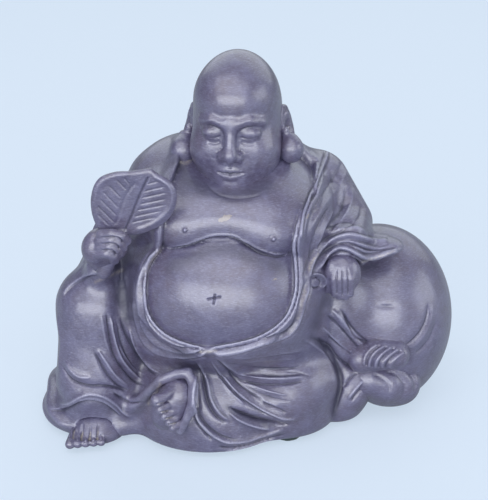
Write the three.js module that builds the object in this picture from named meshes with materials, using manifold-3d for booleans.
// A seated, laughing folk figure of cast clay, about 28 cm wide and 24 cm tall.
// It holds a leaf fan on its raised knee and rests its other hand on a tied cloth sack.
// Every piece is one moulded sprig, joined to its neighbours along the folds and hems.
// Units are millimetres, +Z is up and the figure faces -Y, so its right side is at -X.

import * as THREE from "three";
import { mergeVertices } from "three/addons/utils/BufferGeometryUtils.js";
import Module from "manifold-3d";

const wasm = await Module();
wasm.setup();

// Driving dimensions

const JOINT_GAP = 0.3; // between a piece and the neighbour that it is cut to fit
const PAD_THICKNESS = 3;
const PAD_RADIUS = 9;
const PAD_SIDES = 20;
const SEAT_Z = PAD_THICKNESS + JOINT_GAP; // the flat underside of every piece that stands on the pads
const LARGE = { around: 18, rings: 10 }; // facets of a large ellipsoid
const SMALL = { around: 12, rings: 7 };
const TINY = { around: 8, rings: 6 };
const FINGER = { sides: 7, steps: 3, capRings: 1 };
const TOE = { sides: 7, steps: 1, capRings: 1 };
const STRAIGHT = { sides: 14, steps: 1 }; // facets of one straight length of an arm or a leg

const hips = { x: 0, y: 6, z: 50, halfWidth: 70, halfDepth: 58, halfHeight: 60 };
const belly = { x: -3, y: -24, z: 102, halfWidth: 65, halfDepth: 68, halfHeight: 51 };
const chest = { x: 0, y: -8, aboveBelly: 46, halfWidth: 56, halfDepth: 46, halfHeight: 33 };
const breast = { apart: 52, forward: 16, drop: 3, halfWidth: 31, halfDepth: 37, halfHeight: 22 };
const neck = { forward: 4, aboveChest: 22, halfWidth: 33, halfDepth: 32, halfHeight: 19 };

const head = { x: 4, y: -20, z: 205, halfWidth: 29, halfDepth: 34, halfHeight: 36, turn: -7, nod: 6 };
const jowl = { forward: 8, drop: 22, halfWidth: 30, halfDepth: 31, halfHeight: 22 };
const chin = { forward: 21, drop: 33, halfWidth: 16, halfDepth: 13, halfHeight: 9 };
const nose = { forward: 33, drop: 10, halfWidth: 6, halfDepth: 5, halfHeight: 9 };
const ear = { back: 4, drop: 14, thickness: 11, width: 14, height: 37, sunk: 1 };
const lobe = { out: 2, back: 2, drop: 29, halfWidth: 7.5, halfDepth: 7.5, halfHeight: 10.5 };

const mantle = { x: -2, sides: 24, steps: 8 }; // the robe over the shoulders and back
const opening = { aside: 3, sideInset: 18, lowInset: 15, edgePoints: 12 }; // in the robe's front
const lapel = { leftOut: 44, rightOut: 44, neckLeft: 24, neckRight: 58, rise: 79 };
const border = { radius: 3.4, stand: 0.2, sides: 7, steps: 26 }; // the rolled edge of the robe

const knee = { out: 14, y: -37, z: 82, radius: 25 };
const shin = { aside: 2, forward: 8, footZ: 34, radius: 27 };
const thigh = { aside: 40, radius: 32 };
const hem = { out: 2, back: 23, z: 15, halfWidth: 43, halfDepth: 47, halfHeight: 27 };

const lapKnee = { x: 26, y: -36, z: 28, halfWidth: 46, halfDepth: 42, halfHeight: 34, lean: -8 };
const lapThigh = { aside: 20, up: 18, radius: 36, kneeAside: 6, kneeRadius: 30 };
const drape = { x: -14, y: -42, z: 14, halfWidth: 52, halfDepth: 54, halfHeight: 51 };

const armRight = { radius: 21, shoulderIn: 10, elbowOut: 18, elbowDrop: 42, elbowForward: 6 };
const armLeft = { radius: 23, shoulderIn: 2, elbowOut: 15, elbowDrop: 25, elbowForward: 12 };
const shoulder = { back: 16 };
const cuffRight = { radius: 17, aside: 9, back: 16, down: 22 };
const cuffLeft = { radius: 21, aside: 2, back: 12, up: 8 };
const flap = { aside: 22, back: 23, up: 9, halfWidth: 21, halfDepth: 17, halfHeight: 8, lean: -8 };
const curl = { out: 8, sunk: 6, up: 5, radius: 6 }; // the small rolled end of cloth beside the belly

const fist = { aboveKnee: 48, forward: 31, side: 11, halfWidth: 12, halfDepth: 11, halfHeight: 12 };
const finger = { radius: 3.5, count: 4, pitch: 5.8, reach: 10, slope: 1 };
const fan = { length: 42, halfWidth: 27, thickness: 5, lean: 25, tilt: 6, aside: 3 };
const handle = { radius: 4.2, below: 24, above: 18, overlap: 8, sides: 10 };
const palm = { fromSack: 29, y: -49, z: 111, halfWidth: 11.5, halfDepth: 8, halfHeight: 14 };
const restingFinger = { length: 17, radius: 3.1, pitch: 5, forward: 3, bend: 2, down: 2 };

const footRight = { aside: 3, forward: 14, halfWidth: 17, halfDepth: 24, halfHeight: 17 };
const footLeft = { aside: 26, forward: 40, up: 26, halfWidth: 15, halfDepth: 13, halfHeight: 24, lean: 16 };
const toe = { radius: 3.9, length: 7, pitch: 6.6, count: 5, heelZ: 5, tipZ: 3, reach: 10.5 };
const toeUp = { aside: 8, step: 2.2, up: 11, forward: 6, tip: [-6, -3, -3] }; // of the foot that is turned up

const sack = { out: 29, y: 12, z: 52, halfWidth: 51, halfDepth: 55, halfHeight: 64 };
const sackNeck = { aside: 37, forward: 26, up: 18, halfWidth: 34, halfDepth: 36, halfHeight: 40 };
const knot = { aside: 2, down: 1, halfWidth: 15, halfDepth: 11, halfHeight: 10, lean: 12 };
const tail = { aside: 6, back: 4, length: 24, radius: 11, drop: 23, sag: 6, farSag: 8, farBack: 6, swell: 2 };
const mouthCloth = { aside: 25, back: 11, down: 33, halfWidth: 19, halfDepth: 21, halfHeight: 30, lean: 30 };

const REACH = 400; // how far the cutting blocks go past the figure
const SAMPLES = 60; // levels of the mantle that are compared to find one height

// The leaf's outline on shares of its half width and length: two handles, then the point that they lead to.
const LEAF_CURVES = [
  [
    [0.7, 0.05],
    [1.15, 0.4],
    [0.9, 0.72],
  ],
  [
    [0.7, 1.06],
    [0.2, 1.02],
    [0, 1],
  ],
];

// The mantle's levels: up from a part of the body, out past its side, and forward and back of its middle.
const MANTLE_ROWS = [
  { part: "seat", up: 0, out: 22, forward: 46, back: 84 },
  { part: "hips", up: -20, out: 22, forward: 52, back: 86 },
  { part: "hips", up: 12, out: 13, forward: 84, back: 80 },
  { part: "belly", up: -7, out: 6, forward: 68, back: 98 },
  { part: "belly", up: 23, out: 5, forward: 58, back: 86 },
  { part: "chest", up: 0, out: 11, forward: 68, back: 58 },
  { part: "chest", up: 17, out: 4, forward: 41, back: 49 },
  { part: "neck", up: 7, out: 15, forward: 24, back: 40 },
  { part: "neck", up: 14, out: 3, forward: 13, back: 31 },
];

const PAD_ROWS = [
  { part: "lapKnee", x: 10, y: -22 },
  { part: "hem", x: 24, y: -20 },
  { part: "sack", x: 5, y: 2 },
  { part: "hips", x: -54, y: 50 },
  { part: "hips", x: 50, y: 58 },
];

// Places that follow from the dimensions

const chestZ = belly.z + chest.aboveBelly;
const neckZ = chestZ + neck.aboveChest;
const openingX = belly.x - opening.aside;
const openingHalfWidth = belly.halfWidth - opening.sideInset;
const openingHalfHeight = belly.halfHeight - opening.lowInset;
const kneePlace = [hips.x - hips.halfWidth - knee.out, knee.y, knee.z];
const sackPlace = [hips.x + hips.halfWidth + sack.out, sack.y, sack.z];
const palmPlace = [sackPlace[0] - palm.fromSack, palm.y, palm.z];
const fistPlace = [kneePlace[0] + fist.side, kneePlace[1] - fist.forward, kneePlace[2] + fist.aboveKnee];
const knotPlace = [sackPlace[0] - knot.aside, sack.y - sack.halfDepth, sack.z - knot.down];
const hemPlace = [kneePlace[0] - hem.out, kneePlace[1] + hem.back, hem.z];
const footRightPlace = [kneePlace[0] - footRight.aside, kneePlace[1] - footRight.forward, SEAT_Z];
const footLeftPlace = [drape.x - footLeft.aside, drape.y - footLeft.forward, drape.z + footLeft.up];

const levelOf = {
  seat: { ...hips, z: SEAT_Z },
  hips,
  belly,
  chest: { ...chest, z: chestZ },
  neck: { ...neck, y: chest.y, z: neckZ },
};
const padOver = {
  lapKnee: [lapKnee.x, lapKnee.y],
  hem: hemPlace,
  sack: sackPlace,
  hips: [hips.x, hips.y],
};

// Shape helpers

// A closed geometry, moved to its place, as a solid that can be joined and cut.
function solid(geometry, place = new THREE.Matrix4()) {
  const bare = geometry.index ? geometry.toNonIndexed() : geometry.clone();
  bare.deleteAttribute("normal");
  bare.deleteAttribute("uv");
  const merged = mergeVertices(bare.applyMatrix4(place), 1e-3);
  return new wasm.Manifold(
    new wasm.Mesh({
      numProp: 3,
      vertProperties: merged.attributes.position.array,
      triVerts: new Uint32Array(merged.index.array),
    }),
  );
}

// A turn about X, then Y, then Z, in degrees, with the place that it is moved to.
function placement([turnX, turnY, turnZ], [x, y, z]) {
  const angles = [turnX, turnY, turnZ].map((degrees) => THREE.MathUtils.degToRad(degrees));
  return new THREE.Matrix4().makeRotationFromEuler(new THREE.Euler(...angles, "ZYX")).setPosition(x, y, z);
}

// An ellipsoid with half sizes, round a centre. lean tips it about Y.
function ellipsoid(centre, { halfWidth, halfDepth, halfHeight }, grow, { facets = LARGE, lean = 0 } = {}) {
  const geometry = new THREE.SphereGeometry(1, facets.around, facets.rings).rotateX(Math.PI / 2);
  geometry.scale(halfWidth + grow, halfDepth + grow, halfHeight + grow);
  return solid(geometry, placement([0, lean, 0], centre));
}

// Rings of points, each closed on itself, skinned into one closed surface with a point at each end.
function skin(rings, start, end) {
  const sides = rings[0].length;
  const positions = [start, ...rings.flat(), end].flatMap((p) => [p.x, p.y, p.z]);
  const vertex = (ring, side) => 1 + ring * sides + (side % sides);
  const last = 1 + rings.length * sides;
  const index = [];
  for (let side = 0; side < sides; side++) {
    index.push(0, vertex(0, side + 1), vertex(0, side));
    index.push(last, vertex(rings.length - 1, side), vertex(rings.length - 1, side + 1));
    for (let ring = 0; ring + 1 < rings.length; ring++) {
      const [a, b] = [vertex(ring, side), vertex(ring, side + 1)];
      const [c, d] = [vertex(ring + 1, side), vertex(ring + 1, side + 1)];
      index.push(a, b, d, a, d, c);
    }
  }
  const geometry = new THREE.BufferGeometry();
  geometry.setAttribute("position", new THREE.Float32BufferAttribute(positions, 3));
  geometry.setIndex(index);
  return geometry;
}

// A limb with round ends along a smooth curve. Each station is [x, y, z, radius].
function limb(stations, grow, { sides = 12, steps = 6, capRings = 2, place } = {}) {
  const curve = new THREE.CatmullRomCurve3(stations.map(([x, y, z]) => new THREE.Vector3(x, y, z)));
  const radiusAt = (t) => {
    const along = t * (stations.length - 1);
    const from = Math.min(Math.floor(along), stations.length - 2);
    return THREE.MathUtils.lerp(stations[from][3], stations[from + 1][3], along - from) + grow;
  };
  const frames = curve.computeFrenetFrames(steps);
  const ring = (step, along, radius) => {
    const centre = curve.getPointAt(step / steps).addScaledVector(frames.tangents[step], along);
    return Array.from({ length: sides }, (_, side) => {
      const angle = (side / sides) * 2 * Math.PI;
      return centre
        .clone()
        .addScaledVector(frames.normals[step], radius * Math.cos(angle))
        .addScaledVector(frames.binormals[step], radius * Math.sin(angle));
    });
  };
  const capAngles = Array.from({ length: capRings }, (_, i) => ((i + 1) / (capRings + 1)) * (Math.PI / 2));
  const [startRadius, endRadius] = [radiusAt(0), radiusAt(1)];
  const rings = [
    ...capAngles.map((a) => ring(0, -startRadius * Math.cos(a), startRadius * Math.sin(a))),
    ...Array.from({ length: steps + 1 }, (_, step) => ring(step, 0, radiusAt(step / steps))),
    ...capAngles.reverse().map((a) => ring(steps, endRadius * Math.cos(a), endRadius * Math.sin(a))),
  ];
  const start = curve.getPointAt(0).addScaledVector(frames.tangents[0], -startRadius);
  const end = curve.getPointAt(1).addScaledVector(frames.tangents[steps], endRadius);
  return solid(skin(rings, start, end), place);
}

// Smooth curves up the mantle's side, front and back, with the height as their second coordinate.
const mantleCurves = [
  (row) => levelOf[row.part].halfWidth + row.out,
  (row) => levelOf[row.part].y - row.forward,
  (row) => levelOf[row.part].y + row.back,
].map((reach) => {
  const points = MANTLE_ROWS.map((row) => new THREE.Vector3(reach(row), levelOf[row.part].z + row.up, 0));
  return new THREE.CatmullRomCurve3(points);
});

// The mantle's oval at a share of the way up.
function mantleLevel(share) {
  const [width, front, back] = mantleCurves.map((curve) => curve.getPoint(share));
  const middleY = (front.x + back.x) / 2;
  return { z: width.y, halfWidth: width.x, middleY, halfDepth: back.x - middleY };
}

// A flat outline in the figure's front plane, drawn with X across and Z up, as a plate from backY to frontY.
function plate(outline, backY, frontY, { curveSegments = 12, place } = {}) {
  const geometry = new THREE.ExtrudeGeometry(outline, {
    depth: backY - frontY,
    bevelEnabled: false,
    curveSegments,
  });
  return solid(geometry.rotateX(Math.PI / 2).translate(0, backY, 0), place);
}

const join = (...solids) => solids.reduce((whole, next) => whole.add(next));
const cut = (base, ...tools) => tools.reduce((left, tool) => left.subtract(tool), base);

// Everything above a height, as a block to intersect with.
function above(height) {
  return solid(new THREE.BoxGeometry(2 * REACH, 2 * REACH, 2 * REACH).translate(0, 0, height + REACH));
}

// The largest of the separate bodies that a cut leaves: the rest is waste.
function largest(shape) {
  return shape.decompose().reduce((most, body) => (body.volume() > most.volume() ? body : most));
}

// Body and head. Each shape takes a clearance to grow by where it cuts its neighbour.

const bellyForm = (grow) => ellipsoid([belly.x, belly.y, belly.z], belly, grow);
const hipsForm = (grow) => ellipsoid([hips.x, hips.y, hips.z], hips, grow);
const chestForm = (grow) => ellipsoid([chest.x, chest.y, chestZ], chest, grow);

function breastForm(side, grow) {
  const x = chest.x + (side * breast.apart) / 2;
  return ellipsoid([x, chest.y - breast.forward, chestZ - breast.drop], breast, grow);
}

function torsoForm(grow) {
  const neckForm = ellipsoid([chest.x, chest.y - neck.forward, neckZ], neck, grow, { facets: SMALL });
  const breasts = join(breastForm(-1, grow), breastForm(1, grow));
  return join(hipsForm(grow), bellyForm(grow), chestForm(grow), breasts, neckForm);
}

// An ellipsoid given in the head's own frame, where -Y is the way that the face looks.
function headPiece(centre, { halfWidth, halfDepth, halfHeight }, grow, facets) {
  const geometry = new THREE.SphereGeometry(1, facets.around, facets.rings).rotateX(Math.PI / 2);
  geometry.scale(halfWidth + grow, halfDepth + grow, halfHeight + grow);
  geometry.translate(...centre);
  return solid(geometry, placement([head.nod, 0, head.turn], [head.x, head.y, head.z]));
}

function headForm(grow) {
  return join(
    headPiece([0, 0, 0], head, grow, LARGE),
    headPiece([0, -jowl.forward, -jowl.drop], jowl, grow, LARGE),
    headPiece([0, -chin.forward, -chin.drop], chin, grow, TINY),
    headPiece([0, -nose.forward, -nose.drop], nose, grow, TINY),
  );
}

function earForm(side, grow) {
  const outward = side * (head.halfWidth + ear.thickness / 2 - ear.sunk);
  const shell = { halfWidth: ear.thickness / 2, halfDepth: ear.width / 2, halfHeight: ear.height / 2 };
  return join(
    headPiece([outward, ear.back, -ear.drop], shell, grow, SMALL),
    headPiece([outward + side * lobe.out, ear.back - lobe.back, -lobe.drop], lobe, grow, SMALL),
  );
}

// Robe

// The edge of the robe's front opening: down from the neck, round the foot of the belly and up again.
function openingEdge() {
  const top = belly.z + lapel.rise;
  const edge = new THREE.Path();
  edge.moveTo(openingX - lapel.neckLeft, top);
  edge.quadraticCurveTo(openingX - lapel.leftOut, chestZ, openingX - openingHalfWidth, belly.z);
  edge.absellipse(openingX, belly.z, openingHalfWidth, openingHalfHeight, Math.PI, 2 * Math.PI, false, 0);
  edge.quadraticCurveTo(openingX + lapel.rightOut, chestZ, openingX + lapel.neckRight, top);
  return edge;
}

// The opening as a block: it goes up past the neck and forward past the belly.
function openingBlock() {
  const edge = openingEdge().getPoints(opening.edgePoints);
  const [start, end] = [edge[0], edge[edge.length - 1]].map(({ x }) => new THREE.Vector2(x, REACH));
  return plate(new THREE.Shape([start, ...edge, end]), chest.y, -REACH);
}

function mantleForm(grow) {
  const rings = Array.from({ length: mantle.steps + 1 }, (_, step) => {
    const { z, halfWidth, middleY, halfDepth } = mantleLevel(step / mantle.steps);
    const lift = step === 0 ? -grow : step === mantle.steps ? grow : 0;
    return Array.from({ length: mantle.sides }, (_, side) => {
      const angle = (side / mantle.sides) * 2 * Math.PI;
      const x = mantle.x + (halfWidth + grow) * Math.cos(angle);
      return new THREE.Vector3(x, middleY + (halfDepth + grow) * Math.sin(angle), z + lift);
    });
  });
  const [low, high] = [mantleLevel(0), mantleLevel(1)];
  const bottom = new THREE.Vector3(mantle.x, low.middleY, low.z - grow);
  const top = new THREE.Vector3(mantle.x, high.middleY, high.z + grow);
  return solid(skin(rings, bottom, top));
}

// How far forward the body or the robe stands at a place on the front.
function frontY(x, z) {
  const across = (x - belly.x) / belly.halfWidth;
  const up = (z - belly.z) / belly.halfHeight;
  const onBelly = belly.y - belly.halfDepth * Math.sqrt(Math.max(0, 1 - across * across - up * up));
  const samples = Array.from({ length: SAMPLES + 1 }, (_, i) => mantleLevel(i / SAMPLES));
  const level = samples.reduce((best, next) => (Math.abs(next.z - z) < Math.abs(best.z - z) ? next : best));
  const out = (x - mantle.x) / level.halfWidth;
  return Math.min(onBelly, level.middleY - level.halfDepth * Math.sqrt(Math.max(0, 1 - out * out)));
}

// The rolled edge of the robe all along its opening.
function borderForm(grow) {
  const stations = openingEdge()
    .getSpacedPoints(border.steps / 2)
    .map(({ x, y: z }) => [x, frontY(x, z) - border.stand, z, border.radius]);
  return limb(stations, grow, border);
}

function rightLegForm(grow) {
  const [kneeX, kneeY, kneeZ] = kneePlace;
  return join(
    limb(
      [
        [kneeX, kneeY, kneeZ, knee.radius],
        [kneeX - shin.aside, kneeY - shin.forward, shin.footZ, shin.radius],
      ],
      grow,
      STRAIGHT,
    ),
    limb(
      [
        [hips.x - thigh.aside, hips.y, hips.z, thigh.radius],
        [kneeX, kneeY, kneeZ, knee.radius],
      ],
      grow,
      STRAIGHT,
    ),
  );
}

function lapLegForm(grow) {
  return join(
    ellipsoid([lapKnee.x, lapKnee.y, lapKnee.z], lapKnee, grow, { lean: lapKnee.lean }),
    limb(
      [
        [hips.x + lapThigh.aside, hips.y, lapKnee.z + lapThigh.up, lapThigh.radius],
        [lapKnee.x + lapThigh.kneeAside, lapKnee.y, lapKnee.z, lapThigh.kneeRadius],
      ],
      grow,
      STRAIGHT,
    ),
  );
}

// A sleeve in two straight lengths, from the shoulder to the elbow and on to the wrist.
function sleeve(shoulderPlace, elbow, wrist, radius, cuffRadius, grow) {
  return join(
    limb(
      [
        [...shoulderPlace, radius],
        [...elbow, radius],
      ],
      grow,
      STRAIGHT,
    ),
    limb(
      [
        [...elbow, radius],
        [...wrist, cuffRadius],
      ],
      grow,
      STRAIGHT,
    ),
  );
}

function rightSleeveForm(grow) {
  const side = chest.x - chest.halfWidth;
  const y = chest.y + shoulder.back;
  const elbow = [side - armRight.elbowOut, y - armRight.elbowForward, chestZ - armRight.elbowDrop];
  const [x, fistY, z] = fistPlace;
  const wrist = [x - cuffRight.aside, fistY + cuffRight.back, z - cuffRight.down];
  const shoulderPlace = [side + armRight.shoulderIn, y, chestZ];
  return sleeve(shoulderPlace, elbow, wrist, armRight.radius, cuffRight.radius, grow);
}

function leftSleeveForm(grow) {
  const side = chest.x + chest.halfWidth;
  const y = chest.y + shoulder.back;
  const elbow = [side + armLeft.elbowOut, y - armLeft.elbowForward, chestZ - armLeft.elbowDrop];
  const [x, palmY, z] = palmPlace;
  const wrist = [x + cuffLeft.aside, palmY + cuffLeft.back, z + cuffLeft.up];
  const shoulderPlace = [side - armLeft.shoulderIn, y, chestZ];
  const flapPlace = [x + flap.aside, palmY + flap.back, z + flap.up];
  return join(
    sleeve(shoulderPlace, elbow, wrist, armLeft.radius, cuffLeft.radius, grow),
    ellipsoid(flapPlace, flap, grow, { facets: SMALL, lean: flap.lean }),
  );
}

function curlForm(grow) {
  const { radius } = curl;
  const size = { halfWidth: radius, halfDepth: radius, halfHeight: radius };
  const [x, z] = [openingX + openingHalfWidth + curl.out, belly.z + curl.up];
  const place = [x, frontY(x, z) + curl.sunk, z];
  return ellipsoid(place, size, grow, { facets: TINY });
}

// Hands, fan and feet

function fistForm(grow) {
  const [x, y, middleZ] = fistPlace;
  const front = y - fist.halfDepth;
  const fingers = Array.from({ length: finger.count }, (_, i) => {
    const z = middleZ + (i - (finger.count - 1) / 2) * finger.pitch;
    return limb(
      [
        [x - finger.reach, front + finger.radius, z + finger.slope, finger.radius],
        [x, front, z, finger.radius],
        [x + finger.reach, front + finger.radius, z - finger.slope, finger.radius],
      ],
      grow,
      FINGER,
    );
  });
  return join(ellipsoid(fistPlace, fist, grow, { facets: SMALL }), ...fingers);
}

// The fan is a leaf with two round shoulders and a notch at its tip.
function fanOutline(grow) {
  const half = fan.halfWidth + grow;
  const tip = fan.length + grow;
  const foot = -handle.radius - grow;
  const right = LEAF_CURVES.map((points) => points.map(([across, along]) => [half * across, tip * along]));
  const outline = new THREE.Shape();
  outline.moveTo(0, foot);
  right.forEach(([[ax, az], [bx, bz], [x, z]]) => outline.bezierCurveTo(-ax, az, -bx, bz, -x, z));
  const [[low, waist, broad], [high, near]] = right;
  outline.bezierCurveTo(...near, ...high, ...broad);
  outline.bezierCurveTo(...waist, ...low, 0, foot);
  return outline;
}

function fanForm(grow) {
  const turn = [fan.tilt, fan.lean, 0];
  const grip = [fistPlace[0] + fan.aside, fistPlace[1], fistPlace[2]];
  const leafFoot = new THREE.Matrix4().makeTranslation(0, 0, handle.above + handle.radius - handle.overlap);
  const leafPlace = placement(turn, grip).multiply(leafFoot);
  const halfThickness = fan.thickness / 2 + grow;
  const leaf = plate(fanOutline(grow), halfThickness, -halfThickness, { curveSegments: 7, place: leafPlace });
  const stick = limb(
    [
      [0, 0, -handle.below, handle.radius],
      [0, 0, handle.above, handle.radius],
    ],
    grow,
    { sides: handle.sides, steps: 1, place: placement(turn, grip) },
  );
  return join(leaf, stick);
}

function leftHandForm(grow) {
  const { length, radius, pitch, forward, bend, down } = restingFinger;
  const [palmX, palmY, palmZ] = palmPlace;
  const fingers = Array.from({ length: finger.count }, (_, i) => {
    const place = i - (finger.count - 1) / 2;
    const [x, y] = [palmX + place * pitch, palmY - forward];
    const tipZ = palmZ - length + Math.abs(place);
    return limb(
      [
        [x, y, palmZ - down, radius],
        [x, y - bend, (palmZ + tipZ) / 2, radius],
        [x, y, tipZ, radius],
      ],
      grow,
      FINGER,
    );
  });
  return join(ellipsoid(palmPlace, palm, grow, { facets: SMALL }), ...fingers);
}

function rightFootForm(grow) {
  const [x, y] = footRightPlace;
  const toeY = y - footRight.halfDepth + toe.length;
  const toes = Array.from({ length: toe.count }, (_, i) => {
    const toeX = x + (i - (toe.count - 1) / 2) * toe.pitch;
    return limb(
      [
        [toeX, toeY, SEAT_Z + toe.heelZ, toe.radius],
        [toeX, toeY - toe.reach, SEAT_Z + toe.tipZ, toe.radius],
      ],
      grow,
      TOE,
    );
  });
  return join(ellipsoid(footRightPlace, footRight, grow, { facets: SMALL }), ...toes);
}

function leftFootForm(grow) {
  const [x, y, z] = footLeftPlace;
  const toes = Array.from({ length: toe.count }, (_, i) => {
    const root = [x - toeUp.aside + i * toeUp.step, y - toeUp.forward, z + toeUp.up - i * toe.pitch];
    const tip = root.map((coordinate, axis) => coordinate + toeUp.tip[axis]);
    return limb(
      [
        [...root, toe.radius],
        [...tip, toe.radius],
      ],
      grow,
      TOE,
    );
  });
  return join(ellipsoid(footLeftPlace, footLeft, grow, { facets: SMALL, lean: footLeft.lean }), ...toes);
}

// Sack

function sackForm(grow) {
  const [x, y, z] = sackPlace;
  const neckPlace = [x - sackNeck.aside, y - sackNeck.forward, z + sackNeck.up];
  return join(ellipsoid(sackPlace, sack, grow), ellipsoid(neckPlace, sackNeck, grow));
}

function tailForm(grow) {
  const [x, y, z] = [knotPlace[0] - tail.aside, knotPlace[1] + tail.back, knotPlace[2] - tail.drop];
  return limb(
    [
      [x, y, z, tail.radius],
      [x + tail.length / 2, y, z - tail.sag, tail.radius + tail.swell],
      [x + tail.length, y + tail.farBack, z - tail.farSag, tail.radius],
    ],
    grow,
    { steps: 4 },
  );
}

function mouthClothForm(grow) {
  const [x, y, z] = knotPlace;
  const place = [x - mouthCloth.aside, y + mouthCloth.back, z - mouthCloth.down];
  return ellipsoid(place, mouthCloth, grow, { facets: SMALL, lean: mouthCloth.lean });
}

function padForm({ part, x, y }) {
  const [overX, overY] = padOver[part];
  const disc = new THREE.CylinderGeometry(PAD_RADIUS, PAD_RADIUS, PAD_THICKNESS, PAD_SIDES);
  return solid(disc.rotateX(Math.PI / 2).translate(overX + x, overY + y, PAD_THICKNESS / 2));
}

// Cutting each sub-part to fit the ones before it

const standing = above(SEAT_Z);
const bareFront = openingBlock();
const pieces = new Map();
const cutters = [];

// Adds a sub-part that is cut by every one added before it, and that later ones are cut by.
function add(name, shape, ...cuts) {
  pieces.set(name, largest(cut(shape(0).intersect(standing), ...cuts, ...cutters)));
  cutters.push(shape(JOINT_GAP));
}

add("head", headForm);
add("torso", torsoForm);
add("right_ear", (grow) => earForm(-1, grow));
add("left_ear", (grow) => earForm(1, grow));
add("fan", fanForm);
add("right_hand", fistForm);
add("left_hand", leftHandForm);
add("right_foot", rightFootForm);
add("left_foot", leftFootForm);
add("robe_border", borderForm);
add("cloth_curl", curlForm);
add("right_leg_robe", rightLegForm, bareFront);
add("left_leg_robe", lapLegForm, bareFront);
add("sack_knot", (grow) => ellipsoid(knotPlace, knot, grow, { facets: SMALL, lean: knot.lean }));
add("sack_tail", tailForm);
add("right_sleeve", rightSleeveForm, bareFront);
add("left_sleeve", leftSleeveForm, bareFront);
add("sack", sackForm, bareFront);
add("sack_mouth_cloth", mouthClothForm);
add("front_drape", (grow) => ellipsoid([drape.x, drape.y, drape.z], drape, grow), bareFront);
add("ground_hem", (grow) => ellipsoid(hemPlace, hem, grow));
add("mantle", mantleForm, bareFront);
PAD_ROWS.forEach((row, i) => pieces.set(`felt_pad_${i + 1}`, padForm(row)));

// Materials and the exported group

const glaze = new THREE.MeshStandardMaterial({ color: 0x5d5566, roughness: 0.5, metalness: 0 });
const felt = new THREE.MeshStandardMaterial({ color: 0x14201e, roughness: 0.95, metalness: 0 });

function meshOf(name, piece) {
  const made = piece.getMesh();
  const geometry = new THREE.BufferGeometry();
  geometry.setAttribute("position", new THREE.BufferAttribute(new Float32Array(made.vertProperties), 3));
  geometry.setIndex(new THREE.BufferAttribute(new Uint32Array(made.triVerts), 1));
  geometry.computeVertexNormals();
  const mesh = new THREE.Mesh(geometry, name.startsWith("felt_pad") ? felt : glaze);
  mesh.name = name;
  return mesh;
}

const figure = new THREE.Group();
for (const [name, piece] of pieces) figure.add(meshOf(name, piece));

// The origin is under the middle of the figure, on the surface that it stands on.
const bounds = new THREE.Box3().setFromObject(figure);
const middle = bounds.getCenter(new THREE.Vector3());
figure.position.set(-middle.x, -middle.y, -bounds.min.z);

export default figure;
